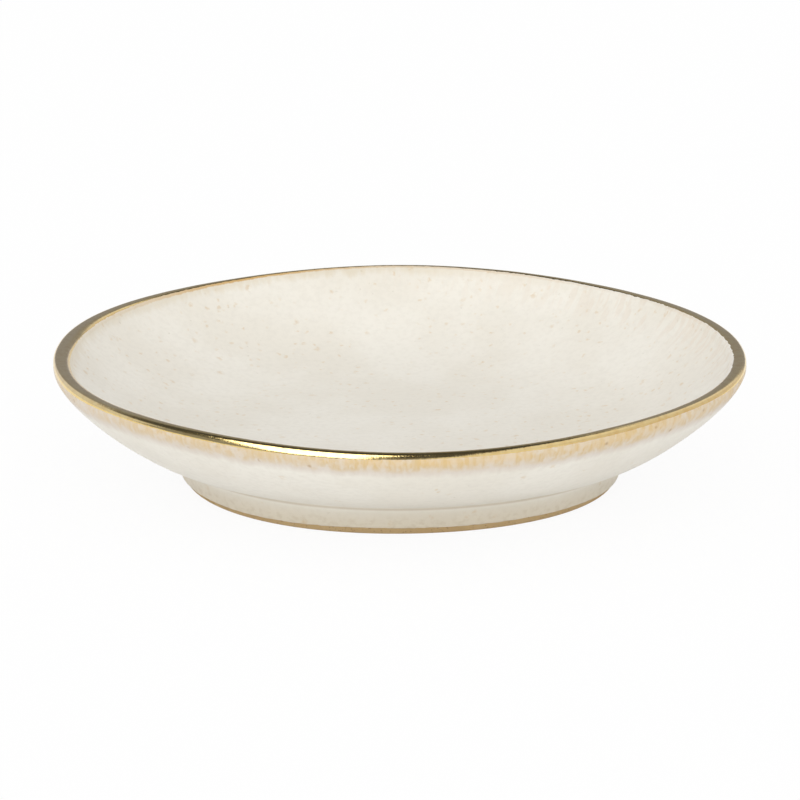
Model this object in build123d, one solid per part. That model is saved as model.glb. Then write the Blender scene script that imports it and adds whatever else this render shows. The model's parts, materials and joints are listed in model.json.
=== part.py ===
from build123d import *
import os
from math import cos, pi, radians, sin

# Ring dish: a small round stoneware dish on a turned foot ring, glazed cream inside and out,
# with a band of gold lustre over its rim. The origin is on the table under the middle of the
# rim. +Z is up and -Y is the side that faces the viewer.
# All lengths are in millimetres and all angles in degrees.

# Overall
overall_diameter = 110.0
overall_height = 20.0

# Coats
glaze_thickness = 0.4
gold_thickness = 0.1

# Lip, as glazed
lip_radius = 1.25
inside_lip_slope = 55.0

# Wall, as glazed
wall_thickness = 3.4
wall_low_slope = 8.0
wall_high_slope = 75.0
wall_low_reach = 6.5
wall_high_reach = 4.0
crease_radius = 0.9

# Floor of the dish
floor_thickness = 3.4
floor_flat_diameter = 48.0
inside_bend_shares = (0.25, 0.5, 0.75)

# Foot ring, bare clay where it stands on the table
foot_diameter = 68.0
foot_height = 5.4
foot_flare = 1.8
foot_ring_width = 4.2
foot_edge_radius = 0.6
bare_foot_height = 0.8

# Well under the floor, inside the foot ring
well_depth = 3.4
well_side_lean = 0.8
well_corner_radius = 1.6
bare_well_height = 0.9

# Gold band, measured along the glaze from the top of the rim
gold_inside_width = 1.3
gold_outside_width = 1.6

# Handmade shape. Each lobe is its count round the dish, its share of the wobble and the
# direction in degrees that its first crest points to.
rim_round_wobble = 0.5
rim_round_lobe_shares = ((2, 0.35, 25), (3, 0.6, 20), (4, 0.75, -18), (5, 1.0, -8))
rim_height_wobble = 0.3
rim_height_lobe_shares = ((2, 0.95, 32), (3, 0.65, -12), (4, 0.5, 14), (5, 0.5, 20))
foot_round_wobble = 0.8
foot_round_lobe_shares = ((2, 1.0, -30), (3, 0.95, -17))

# How finely the handmade surfaces are laid out
ring_points = 36
ring_turn = 15.0
ring_gap = 3.0
least_rings = 3

glazed_radius = overall_diameter / 2 - gold_thickness
glazed_height = overall_height - gold_thickness
foot_radius = foot_diameter / 2


# Profile of the dish in radius and height, from the floor over the lip and down to the foot

def slope(angle):
    """Direction in radius and height that climbs outwards at an angle."""
    return Vector(cos(radians(angle)), sin(radians(angle)))


side_up = Vector(foot_flare, foot_height).normalized()
side_out = Vector(side_up.Y, -side_up.X)
foot_corner = Vector(foot_radius, 0)
bare_edge = foot_corner + side_up * (bare_foot_height / side_up.Y)
glaze_edge = bare_edge + side_out * glaze_thickness
crease_climb = (foot_height - side_out.Y * glaze_thickness) / side_up.Y
crease_corner = foot_corner + side_up * crease_climb + side_out * glaze_thickness

lip_centre = Vector(glazed_radius - lip_radius, glazed_height - lip_radius)
lip_line = CenterArc(
    lip_centre, lip_radius, 90 + inside_lip_slope, -(180 + inside_lip_slope - wall_high_slope)
)
wall_start = crease_corner + slope(wall_low_slope) * (2 * crease_radius)
wall_line = Bezier(
    lip_line @ 1,
    lip_line @ 1 - slope(wall_high_slope) * wall_high_reach,
    wall_start + slope(wall_low_slope) * (wall_low_reach - 2 * crease_radius),
    wall_start,
)
crease_lines = FilletPolyline(wall_start, crease_corner, glaze_edge, radius=crease_radius).edges()


def under(line, share, depth):
    """Point at a share of a line's length, a depth below the surface that the line draws."""
    along = line % share
    return line @ share + Vector(along.Y, -along.X) * depth


def inside_bend(share):
    """Point of the dish's inside, the wall's thickness in from its outside."""
    thickness = wall_thickness + (2 * lip_radius - wall_thickness) * share
    return under(wall_line, 1 - share, thickness)


floor_edge = Vector(floor_flat_diameter / 2, well_depth + floor_thickness + glaze_thickness)
inside_line = Spline(
    floor_edge,
    *[inside_bend(share) for share in inside_bend_shares],
    lip_line @ 0,
    tangents=[slope(0), slope(inside_lip_slope)],
)
dish_lines = [inside_line, lip_line, wall_line, *crease_lines]
rim_top = inside_line.length + lip_radius * radians(inside_lip_slope)
gold_start = rim_top - gold_inside_width
gold_end = rim_top + gold_outside_width


# Profile of the bare clay, from the outside glaze's edge round the foot ring into the well

well_foot = foot_corner - Vector(foot_ring_width, 0)
well_corner = well_foot + Vector(-well_side_lean, well_depth)
well_flat_edge = well_corner - Vector(2 * well_corner_radius, 0)
foot_lines = FilletPolyline(
    bare_edge,
    foot_corner,
    well_foot,
    well_corner,
    well_flat_edge,
    radius=[foot_edge_radius, foot_edge_radius, well_corner_radius],
).edges()
foot_side, foot_edge, foot_land, well_edge, well_side, well_bend, well_ceiling = foot_lines
well_lines = [well_edge, well_side, well_bend, well_ceiling]
well_side_climb = (well_side @ 1 - well_side @ 0).Y
bare_well_share = (bare_well_height - (well_side @ 0).Y) / well_side_climb
well_glaze_start = well_edge.length + bare_well_share * well_side.length


# Surfaces swept round the dish, with the small unevenness of a handmade piece

def wobble(amount, lobe_shares, angle):
    """Sum of the lobes at an angle round the dish."""
    return amount * sum(
        share * cos(count * (angle - radians(crest))) for count, share, crest in lobe_shares
    )


def rim_wobble(angle):
    """How far the rim stands out of round at an angle."""
    return wobble(rim_round_wobble, rim_round_lobe_shares, angle)


rim_middle = Vector(rim_wobble(0) - rim_wobble(pi), rim_wobble(pi / 2) - rim_wobble(-pi / 2)) / 2


def handmade(radius, height, angle):
    """Point of the uneven dish where the even one has this radius and height."""
    reach = (radius - crease_corner.X) / (glazed_radius - crease_corner.X)
    reach = min(max(reach, 0), 1)
    rim_weight = reach * reach * (3 - 2 * reach)
    foot_weight = (1 - rim_weight) * min(radius / foot_radius, 1)
    uneven_radius = (
        radius
        + rim_weight * rim_wobble(angle)
        + foot_weight * wobble(foot_round_wobble, foot_round_lobe_shares, angle)
    )
    uneven_height = height + rim_weight * wobble(rim_height_wobble, rim_height_lobe_shares, angle)
    from_middle = Vector(uneven_radius * cos(angle), uneven_radius * sin(angle), uneven_height)
    return from_middle - rim_middle


def ring(place):
    """Closed smooth curve round the dish through one point of the profile."""
    turns = [2 * pi * step / ring_points for step in range(ring_points)]
    points = [handmade(place.X, place.Y, angle) for angle in turns]
    return Wire([Spline(*points, periodic=True)])


def band(line, start, end, depth):
    """Face swept from one share of a profile line to another, at a depth below it."""
    turned = (line % start).get_angle(line % end)
    rings = least_rings + int(turned / ring_turn) + int((end - start) * line.length / ring_gap)
    shares = [start + (end - start) * step / (rings - 1) for step in range(rings)]
    return Shell.make_loft([ring(under(line, share, depth)) for share in shares]).faces()


def stretches(lines, start, end):
    """Each line of a chain that lies between two lengths along it, with its shares there."""
    passed = 0
    for line in lines:
        low = max(start - passed, 0) / line.length
        high = min(end - passed, line.length) / line.length
        if high > low:
            yield line, low, high
        passed += line.length


def surface(lines, depth=0, start=0, end=None):
    """Faces swept from one length along a chain of lines to another, at a depth below it."""
    whole = sum(line.length for line in lines)
    pieces = stretches(lines, start, whole if end is None else end)
    return [face for line, low, high in pieces for face in band(line, low, high, depth)]


def ring_at(lines, length, depth):
    """Ring through the profile at a length along a chain of lines, at a depth below it."""
    line, low, share = list(stretches(lines, 0, length))[-1]
    return ring(under(line, share, depth))


def coat_edge(lines, length, depth_from, depth_to):
    """Faces of a coat's edge, square to the surface that it lies on."""
    ends = [ring_at(lines, length, depth) for depth in (depth_from, depth_to)]
    return Shell.make_loft(ends, ruled=True).faces()


def disc(place):
    """Flat face inside the ring through a point of the profile."""
    return [Face(ring(place))]


def closed_solid(*groups):
    """Solid whose skin is made of the groups of faces."""
    return Solid(Shell([face for group in groups for face in group]))


# The dish's pieces: its clay and the coats fired onto it

glaze_end = sum(line.length for line in dish_lines)
floor_disc = disc(under(inside_line, 0, 0))
clay_floor_disc = disc(under(inside_line, 0, glaze_thickness))
well_disc = disc(under(well_ceiling, 1, 0))
well_glaze_disc = disc(under(well_ceiling, 1, -glaze_thickness))


def dish_surface(depth, start, end):
    """The dish's upper and outer surface between two lengths along its profile, at a depth.

    It is split at the rim's top and at the gold's edges, where its pieces meet.
    """
    cuts = [start, *[cut for cut in (gold_start, rim_top, gold_end) if start < cut < end], end]
    return [face for low, high in zip(cuts, cuts[1:]) for face in surface(dish_lines, depth, low, high)]


def stoneware_body():
    """The fired clay: floor, wall, lip and foot ring."""
    return closed_solid(
        clay_floor_disc,
        dish_surface(glaze_thickness, 0, glaze_end),
        surface([foot_side, foot_edge]),
        [Face(ring(foot_land @ 0), [ring(foot_land @ 1)])],
        surface(well_lines, 0, 0, well_glaze_start),
        surface(well_lines, 0, well_glaze_start),
        well_disc,
    )


def inside_glaze():
    """The glaze poured over the floor and the inside of the wall, up to the top of the lip."""
    return closed_solid(
        floor_disc,
        dish_surface(0, 0, rim_top),
        coat_edge(dish_lines, rim_top, 0, glaze_thickness),
        dish_surface(glaze_thickness, 0, rim_top),
        clay_floor_disc,
    )


def outside_glaze():
    """The glaze on the outside, from the top of the lip down to the bare edge of the foot."""
    return closed_solid(
        dish_surface(0, rim_top, glaze_end),
        coat_edge(dish_lines, glaze_end, 0, glaze_thickness),
        dish_surface(glaze_thickness, rim_top, glaze_end),
        coat_edge(dish_lines, rim_top, 0, glaze_thickness),
    )


def foot_well_glaze():
    """The patch of glaze in the well under the dish, clear of the foot that stands bare."""
    return closed_solid(
        well_glaze_disc,
        surface(well_lines, -glaze_thickness, well_glaze_start),
        coat_edge(well_lines, well_glaze_start, -glaze_thickness, 0),
        surface(well_lines, 0, well_glaze_start),
        well_disc,
    )


def gold_rim():
    """The band of gold lustre brushed over the lip, on both coats of glaze."""
    return closed_solid(
        dish_surface(-gold_thickness, gold_start, gold_end),
        coat_edge(dish_lines, gold_start, -gold_thickness, 0),
        dish_surface(0, gold_start, gold_end),
        coat_edge(dish_lines, gold_end, -gold_thickness, 0),
    )


os.makedirs("parts", exist_ok=True)
for make_piece in (stoneware_body, inside_glaze, outside_glaze, foot_well_glaze, gold_rim):
    piece = make_piece()
    piece.label = make_piece.__name__
    export_step(piece, f"parts/{piece.label}.step")
    print(f"{piece.label}: {piece.volume:.1f} mm3, valid {piece.is_valid}")
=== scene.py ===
"""Ring dish: cream-glazed stoneware on a turned foot ring, with a gold lustre band over its rim.

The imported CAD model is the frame. Each of its solids is stood for by a piece that is turned about
the same axis from the same section, with the ripples, beads and brush marks of a handmade pot.
Lengths are in metres, written as millimetres times MM, and angles are in degrees.
"""

import json
import logging
import math
from collections.abc import Iterator, Mapping, Sequence
from dataclasses import dataclass, field
from enum import Enum, IntEnum
from typing import Any

import bpy
from mathutils import Matrix, Vector
from mathutils.geometry import interpolate_bezier

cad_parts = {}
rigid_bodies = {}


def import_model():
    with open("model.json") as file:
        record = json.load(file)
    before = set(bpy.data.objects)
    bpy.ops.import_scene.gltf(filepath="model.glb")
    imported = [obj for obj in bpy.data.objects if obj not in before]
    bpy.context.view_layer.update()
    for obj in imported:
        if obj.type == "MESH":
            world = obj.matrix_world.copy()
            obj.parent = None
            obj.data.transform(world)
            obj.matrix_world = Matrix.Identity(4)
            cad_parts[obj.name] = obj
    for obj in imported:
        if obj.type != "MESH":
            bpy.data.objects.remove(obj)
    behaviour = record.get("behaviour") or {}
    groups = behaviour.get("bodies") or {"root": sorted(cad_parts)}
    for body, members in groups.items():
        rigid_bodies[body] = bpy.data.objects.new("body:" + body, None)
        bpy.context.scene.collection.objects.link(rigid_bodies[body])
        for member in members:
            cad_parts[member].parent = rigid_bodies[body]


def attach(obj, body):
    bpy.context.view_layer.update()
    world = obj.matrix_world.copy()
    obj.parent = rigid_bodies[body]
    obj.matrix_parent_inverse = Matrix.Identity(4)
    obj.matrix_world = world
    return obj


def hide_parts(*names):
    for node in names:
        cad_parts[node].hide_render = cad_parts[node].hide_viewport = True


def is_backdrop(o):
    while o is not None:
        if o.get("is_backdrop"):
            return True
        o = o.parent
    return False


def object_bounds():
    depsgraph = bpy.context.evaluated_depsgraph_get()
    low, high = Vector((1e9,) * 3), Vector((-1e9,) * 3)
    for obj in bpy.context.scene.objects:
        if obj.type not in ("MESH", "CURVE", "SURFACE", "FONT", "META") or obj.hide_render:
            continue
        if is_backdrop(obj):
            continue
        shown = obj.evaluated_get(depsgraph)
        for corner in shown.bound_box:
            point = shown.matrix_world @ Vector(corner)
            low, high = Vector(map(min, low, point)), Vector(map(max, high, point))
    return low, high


for leftover in list(bpy.data.objects):
    bpy.data.objects.remove(leftover)
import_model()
cad_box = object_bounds()

log = logging.getLogger("ring_dish")

MM = 0.001
ARC_STEP = 1.0

Tree = bpy.types.NodeTree
Node = bpy.types.Node
Socket = bpy.types.NodeSocket
Source = bpy.types.Node | bpy.types.NodeSocket | float


# Small helpers

def linear(code: str) -> tuple[float, float, float, float]:
    """Turn an sRGB hex colour into a linear one.

    Args:
        code: Six hex digits after a hash sign.

    Returns:
        Linear red, green and blue, and an alpha of 1.
    """
    shares = [int(code[place:place + 2], 16) / 255 for place in (1, 3, 5)]
    values = [s / 12.92 if s <= 0.04045 else ((s + 0.055) / 1.055) ** 2.4 for s in shares]
    return (*values, 1.0)


def new_object(name: str, data: bpy.types.ID) -> bpy.types.Object:
    """Make an object and put it into the scene."""
    made = bpy.data.objects.new(name, data)
    bpy.context.scene.collection.objects.link(made)
    return made


def spread(start: float, end: float, gap: float) -> list[float]:
    """Evenly spaced values from start to end, both included, at most a gap apart."""
    steps = max(1, math.ceil(abs(end - start) / gap))
    return [start + (end - start) * step / steps for step in range(steps + 1)]


# Nodes, in a tree of geometry or shader nodes

def add_node(
    tree: Tree, kind: str, inputs: Mapping[str | int, Any] | None = None, **settings: Any
) -> Node:
    """Add a node to a tree with its settings, values and links.

    Args:
        tree: Tree that gets the node.
        kind: Blender's type name of the node.
        inputs: What goes into each input, by its name or index. A node stands for its first
            output, a socket is linked, and anything else is the input's value.
        **settings: The node's own properties.

    Returns:
        The new node.
    """
    node = tree.nodes.new(kind)
    for name, value in settings.items():
        setattr(node, name, value)
    for key, value in (inputs or {}).items():
        if isinstance(key, int):
            socket = node.inputs[key]
        else:
            socket = next(found for found in node.inputs if found.name == key and found.enabled)
        if isinstance(value, Node):
            value = next(output for output in value.outputs if output.enabled)
        if isinstance(value, Socket):
            tree.links.new(value, socket)
        else:
            socket.default_value = value
    return node


def maths(tree: Tree, operation: str, *values: Source, **settings: Any) -> Node:
    """Add a node for one operation on numbers."""
    inputs = dict(enumerate(values))
    return add_node(tree, "ShaderNodeMath", inputs, operation=operation, **settings)


def vectors(tree: Tree, operation: str, *values: Any, **named: Source) -> Node:
    """Add a node for one operation on vectors, whose Scale goes by its name."""
    inputs = {**dict(enumerate(values)), **named}
    return add_node(tree, "ShaderNodeVectorMath", inputs, operation=operation)


def compose(tree: Tree, **parts: Source) -> Node:
    """Add a node for the vector that has these parts X, Y and Z."""
    return add_node(tree, "ShaderNodeCombineXYZ", parts)


def parts_of(tree: Tree, vector: Source) -> tuple[Socket, ...]:
    """Add a node that takes a vector apart, and return its parts X, Y and Z."""
    return tuple(add_node(tree, "ShaderNodeSeparateXYZ", {"Vector": vector}).outputs)


def noise(tree: Tree, place: Source, size: float, detail: float, **named: float) -> Node:
    """Add noise.

    Args:
        tree: Tree that gets the node.
        place: Where it is looked at.
        size: Size of its lumps.
        detail: How many finer layers it has.
        **named: Its other inputs by name, such as a seed as W.

    Returns:
        The new node, which gives the noise from 0 to 1.
    """
    inputs = {"Vector": place, "Scale": 1 / size, "Detail": detail, **named}
    dimensions = "4D" if "W" in named else "3D"
    return add_node(tree, "ShaderNodeTexNoise", inputs, noise_dimensions=dimensions)


def ramp(
    tree: Tree,
    value: Source,
    low: float,
    high: float,
    start: float = 0.0,
    end: float = 1.0,
    smooth: bool = True,
) -> Node:
    """Add a node that follows a value from one level to another, and no further.

    Args:
        tree: Tree that gets the node.
        value: What is followed.
        low: The value at which it starts.
        high: The value at which it ends.
        start: Its level at the start.
        end: Its level at the end.
        smooth: Whether it sets off and arrives smoothly.

    Returns:
        The new node.
    """
    inputs = {"Value": value, "From Min": low, "From Max": high, "To Min": start, "To Max": end}
    curve = "SMOOTHSTEP" if smooth else "LINEAR"
    return add_node(tree, "ShaderNodeMapRange", inputs, interpolation_type=curve)


def product(tree: Tree, *factors: Source) -> Source:
    """Add nodes that multiply numbers."""
    total = factors[0]
    for factor in factors[1:]:
        total = maths(tree, "MULTIPLY", total, factor)
    return total


def band(
    tree: Tree, value: Source, start: float | None, end: float | None, soft: float
) -> Source:
    """Add nodes for a band of a value.

    Args:
        tree: Tree that gets the nodes.
        value: What is looked at.
        start: Where the band is half risen, or None for no lower edge.
        end: Where it is half fallen, or None for no upper edge.
        soft: Over how much of the value an edge spreads.

    Returns:
        What gives 1 inside the band and 0 outside.
    """
    edges = []
    if start is not None:
        edges.append(ramp(tree, value, start - soft / 2, start + soft / 2))
    if end is not None:
        edges.append(ramp(tree, value, end - soft / 2, end + soft / 2, 1.0, 0.0))
    return product(tree, *edges)


def direction(tree: Tree, angle: Source) -> Node:
    """Add nodes for the unit direction from the axis at an angle in radians."""
    return compose(tree, X=maths(tree, "COSINE", angle), Y=maths(tree, "SINE", angle))


def turned_point(tree: Tree, turn: Node, radius: Source, height: Source) -> Node:
    """Add nodes for the point at a radius and a height in a direction from the axis."""
    flat = vectors(tree, "SCALE", turn, Scale=radius)
    return vectors(tree, "ADD", flat, compose(tree, Z=height))


Lobe = tuple[int, float, float]


def add_lobes(tree: Tree, angle: Source, lobes: Sequence[Lobe]) -> Source:
    """Add nodes that sum lobes round the dish.

    Args:
        tree: Tree that gets the nodes.
        angle: The angle round the dish, in radians.
        lobes: For each lobe its count round the dish, its share and where its first crest points.

    Returns:
        What gives the sum.
    """
    total: Source = 0.0
    for count, share, crest in lobes:
        phase = maths(tree, "MULTIPLY_ADD", angle, float(count), -count * math.radians(crest))
        total = maths(tree, "MULTIPLY_ADD", maths(tree, "COSINE", phase), share, total)
    return total


# The dish's section, in radius and height

def uphill(angle: float) -> Vector:
    """Direction in radius and height that climbs outwards at an angle."""
    return Vector((math.cos(math.radians(angle)), math.sin(math.radians(angle))))


def arc(centre: Vector, radius: float, start: float, end: float) -> list[Vector]:
    """Points along an arc from one angle to another."""
    return [centre + uphill(angle) * radius for angle in spread(start, end, ARC_STEP)]


def rounded(corners: Sequence[Vector], radii: Sequence[float]) -> list[Vector]:
    """Round the inner corners of an open outline.

    Args:
        corners: The outline's corners in order.
        radii: A radius for each corner but the first and the last.

    Returns:
        Points of the outline, with each inner corner as an arc.
    """
    outline = [corners[0]]
    for before, corner, after, radius in zip(corners, corners[1:], corners[2:], radii):
        way_in = (corner - before).normalized()
        way_out = (after - corner).normalized()
        turn = math.atan2(way_in.cross(way_out), way_in.dot(way_out))
        start = corner - way_in * radius * math.tan(abs(turn) / 2)
        spoke = way_in.orthogonal() * -math.copysign(radius, turn)
        for angle in spread(0, turn, math.radians(ARC_STEP)):
            outline.append(start - spoke + Matrix.Rotation(angle, 2) @ spoke)
    return [*outline, corners[-1]]


def smooth_line(points: Sequence[Vector], first: Vector, last: Vector, steps: int) -> list[Vector]:
    """Draw a smooth line through points.

    Args:
        points: What the line goes through.
        first: Unit direction of the line at its start.
        last: Unit direction of the line at its end.
        steps: How many straight steps stand for each stretch between two points.

    Returns:
        Points along the line.
    """
    ways = [first]
    for before, here, after in zip(points, points[1:], points[2:]):
        way_in = (here - before) / (here - before).length_squared
        way_out = (after - here) / (after - here).length_squared
        ways.append((way_in + way_out).normalized())
    ways.append(last)
    line = [points[0]]
    for place, (start, end) in enumerate(zip(points, points[1:])):
        reach = (end - start).length / 3
        handles = (start + ways[place] * reach, end - ways[place + 1] * reach)
        curve = interpolate_bezier(start, *handles, end, steps + 1)
        line += [point.to_2d() for point in curve[1:]]
    return line


class Outline:
    """Chain of points in radius and height, measured by its length."""

    longest_step = 0.2 * MM
    shortest_step = 1e-4 * MM

    def __init__(self, points: Sequence[Vector]) -> None:
        """Keep the points, without repeats, fill in long steps and measure the length to each."""
        self.points = [points[0]]
        for point in points[1:]:
            start = self.points[-1]
            gap = (point - start).length
            if gap > self.shortest_step:
                shares = spread(0, 1, self.longest_step / gap)[1:]
                self.points += [start.lerp(point, share) for share in shares]
        self.lengths = [0.0]
        for start, end in zip(self.points, self.points[1:]):
            self.lengths.append(self.lengths[-1] + (end - start).length)

    @property
    def length(self) -> float:
        """The whole length of the outline."""
        return self.lengths[-1]

    def under(self, length: float, depth: float) -> Vector:
        """Find a point below the surface that the outline draws.

        Args:
            length: How far along the outline the point lies.
            depth: How far below the surface it lies.

        Returns:
            The point in radius and height.
        """
        found = sum(passed < length for passed in self.lengths[1:-1])
        start, end = self.points[found], self.points[found + 1]
        along = (end - start).normalized()
        point = start + along * (length - self.lengths[found])
        return point + Vector((along.y, -along.x)) * depth

    def stations(self, start: float, end: float, gap: float, bend: float) -> list[float]:
        """Choose where rings lie along the outline, closer together where it bends.

        Args:
            start: Length at which the first ring lies.
            end: Length at which the last ring lies.
            gap: How far apart two rings may be.
            bend: How many degrees the outline may turn between two rings.

        Returns:
            The rings' lengths.
        """
        found = [start]
        heading: Vector | None = None
        for place, length in enumerate(self.lengths[:-1]):
            ahead = self.points[place + 1] - self.points[place]
            if heading is None or not start < length < end:
                heading = ahead
                continue
            turned = math.degrees(heading.angle(ahead))
            if length - found[-1] >= gap or turned >= bend:
                found.append(length)
                heading = ahead
        return [*found, end]

    def length_at_height(self, height: float) -> float:
        """Length at which the outline last climbs past a height."""
        places = range(len(self.points) - 1, 0, -1)
        place = next(place for place in places if self.points[place - 1].y < height)
        low, high = self.points[place - 1], self.points[place]
        share = (height - low.y) / (high.y - low.y)
        return self.lengths[place - 1] + share * (self.lengths[place] - self.lengths[place - 1])


@dataclass(frozen=True)
class DishSection:
    """Sizes of the dish's section, as in the CAD source."""

    overall_radius: float = 55 * MM
    overall_height: float = 20 * MM
    glaze_thickness: float = 0.4 * MM
    gold_thickness: float = 0.1 * MM
    lip_radius: float = 1.25 * MM
    inside_lip_slope: float = 55.0
    wall_thickness: float = 3.4 * MM
    wall_low_slope: float = 8.0
    wall_high_slope: float = 75.0
    wall_low_reach: float = 6.5 * MM
    wall_high_reach: float = 4 * MM
    crease_radius: float = 0.9 * MM
    floor_thickness: float = 3.4 * MM
    floor_flat_radius: float = 24 * MM
    inside_bend_shares: tuple[float, ...] = (0.25, 0.5, 0.75)
    foot_radius: float = 34 * MM
    foot_height: float = 5.4 * MM
    foot_flare: float = 1.8 * MM
    foot_ring_width: float = 4.2 * MM
    foot_edge_radius: float = 0.6 * MM
    bare_foot_height: float = 0.8 * MM
    well_depth: float = 3.4 * MM
    well_side_lean: float = 0.8 * MM
    well_corner_radius: float = 1.6 * MM
    curve_steps: int = 24

    @property
    def glazed_radius(self) -> float:
        """Radius of the rim over its glaze."""
        return self.overall_radius - self.gold_thickness

    @property
    def side_up(self) -> Vector:
        """Direction up the side of the foot."""
        return Vector((self.foot_flare, self.foot_height)).normalized()

    @property
    def side_out(self) -> Vector:
        """Direction square to the side of the foot."""
        return Vector((self.side_up.y, -self.side_up.x))

    @property
    def bare_edge(self) -> Vector:
        """Where the bare clay of the foot begins."""
        up = self.side_up
        return Vector((self.foot_radius, 0)) + up * (self.bare_foot_height / up.y)

    @property
    def glaze_edge(self) -> Vector:
        """Where the outside glaze ends, on its surface."""
        return self.bare_edge + self.side_out * self.glaze_thickness

    @property
    def crease_corner(self) -> Vector:
        """Where the wall's and the foot's glaze meet, before the crease is rounded."""
        out = self.side_out * self.glaze_thickness
        climb = (self.foot_height - out.y) / self.side_up.y
        return Vector((self.foot_radius, 0)) + self.side_up * climb + out

    @property
    def lip_line(self) -> list[Vector]:
        """The lip's arc, from the inside of the dish to the outside."""
        height = self.overall_height - self.gold_thickness - self.lip_radius
        centre = Vector((self.glazed_radius - self.lip_radius, height))
        return arc(centre, self.lip_radius, 90 + self.inside_lip_slope, self.wall_high_slope - 90)

    @property
    def wall_line(self) -> list[Vector]:
        """The outside of the wall, from the lip to the crease."""
        lip_end = self.lip_line[-1]
        crease_run = 2 * self.crease_radius
        low = uphill(self.wall_low_slope)
        wall_start = self.crease_corner + low * crease_run
        curve = interpolate_bezier(
            lip_end,
            lip_end - uphill(self.wall_high_slope) * self.wall_high_reach,
            wall_start + low * (self.wall_low_reach - crease_run),
            wall_start,
            4 * self.curve_steps,
        )
        return [point.to_2d() for point in curve]

    @property
    def inside_line(self) -> list[Vector]:
        """The inside, from the middle of the floor to the lip."""
        floor_height = self.well_depth + self.floor_thickness + self.glaze_thickness
        wall = Outline(self.wall_line)
        bends = [Vector((self.floor_flat_radius, floor_height))]
        for share in self.inside_bend_shares:
            thickness = self.wall_thickness + (2 * self.lip_radius - self.wall_thickness) * share
            bends.append(wall.under(wall.length * (1 - share), thickness))
        bends.append(self.lip_line[0])
        floor = [Vector((0, floor_height)), bends[0]]
        return floor + smooth_line(bends, uphill(0), uphill(self.inside_lip_slope), self.curve_steps)

    def dish_outline(self) -> Outline:
        """The glazed surface, from the middle of the floor over the lip and down to the foot."""
        wall = self.wall_line
        crease = rounded([wall[-1], self.crease_corner, self.glaze_edge], [self.crease_radius])
        return Outline([*self.inside_line, *self.lip_line, *wall, *crease])

    def rim_top(self) -> float:
        """Length along the dish's outline at the top of its rim."""
        lip_share = self.lip_radius * math.radians(self.inside_lip_slope)
        return Outline(self.inside_line).length + lip_share

    def crease_reach(self) -> float:
        """Length along the dish's outline from the top of its rim to the crease above the foot."""
        foot_side = (self.crease_corner - self.glaze_edge).length
        return self.dish_outline().length - foot_side - self.rim_top()

    def foot_outline(self) -> Outline:
        """The bare surface, from the glaze's edge round the foot ring to the middle of the well."""
        foot_corner = Vector((self.foot_radius, 0))
        well_foot = foot_corner - Vector((self.foot_ring_width, 0))
        well_corner = well_foot + Vector((-self.well_side_lean, self.well_depth))
        well_middle = Vector((0, self.well_depth))
        corners = [self.bare_edge, foot_corner, well_foot, well_corner, well_middle]
        radii = [self.foot_edge_radius, self.foot_edge_radius, self.well_corner_radius]
        return Outline(rounded(corners, radii))


# Turning: the section swept round the axis, with the unevenness of a handmade dish

@dataclass(frozen=True)
class Unevenness:
    """How far the dish is out of true, as in the CAD source but for two things that are smaller.

    A lobe is its count round the dish, its share of the wobble and where its first crest points.
    The front of the rim stands a little higher, and the lip is pressed flatter at both sides.

    Attributes:
        front_height: How much higher the front of the rim stands.
        front_lobes: Lobes that sum to 1 at the front and to nothing at the back and sides.
        shoulders: Each shoulder of the flattened lip: how far it reaches from the rim's top along
            the section, outwards if positive, and how far it stands proud.
        shoulder_lobes: How strongly the lip is flattened round the dish.
    """

    rim_round: float = 0.5 * MM
    rim_round_lobes: tuple[Lobe, ...] = ((2, 0.35, 25), (3, 0.6, 20), (4, 0.75, -18), (5, 1.0, -8))
    rim_height: float = 0.3 * MM
    rim_height_lobes: tuple[Lobe, ...] = ((2, 0.95, 32), (3, 0.65, -12), (4, 0.5, 14), (5, 0.5, 20))
    foot_round: float = 0.8 * MM
    foot_round_lobes: tuple[Lobe, ...] = ((2, 1.0, -30), (3, 0.95, -17))
    front_height: float = 0.17 * MM
    front_lobes: tuple[Lobe, ...] = ((1, 0.5, 270), (2, 0.25, 90), (4, 0.25, 0))
    shoulders: tuple[tuple[float, float], ...] = ((1.96 * MM, 0.2 * MM), (-2.8 * MM, 0.33 * MM))
    shoulder_lobes: tuple[Lobe, ...] = ((0, 0.5, 0), (1, 0.1, 180), (2, 0.4, 0))

    def rim_round_at(self, angle: float) -> float:
        """How far the rim stands out of round in a direction."""
        return self.rim_round * sum(
            share * math.cos(math.radians(count * (angle - crest)))
            for count, share, crest in self.rim_round_lobes
        )

    def middle(self) -> Vector:
        """Middle of the uneven rim, which is moved onto the axis."""
        across = self.rim_round_at(0) - self.rim_round_at(180)
        along = self.rim_round_at(90) - self.rim_round_at(-90)
        return Vector((across / 2, along / 2, 0))


class Line(IntEnum):
    """Which outline of the section a row of a turned piece follows."""

    DISH = 0
    FOOT = 1


@dataclass(frozen=True)
class Row:
    """One ring of a turned piece.

    Attributes:
        length: How far along its outline the ring lies.
        depth: How far below the outline's surface it lies.
        line: The outline that it follows.
        start_pull: How far it follows the sway of the piece's first edge, from 0 to 1.
        end_pull: How far it follows the sway of the piece's last edge, from 0 to 1.
        skin: How far it follows the ripples of the surface, from 0 to 1.
    """

    length: float
    depth: float = 0.0
    line: Line = Line.DISH
    start_pull: float = 0.0
    end_pull: float = 0.0
    skin: float = 1.0


ROW_VALUES = {
    "length": "FLOAT",
    "depth": "FLOAT",
    "start_pull": "FLOAT",
    "end_pull": "FLOAT",
    "skin": "FLOAT",
    "line": "INT",
}


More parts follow.
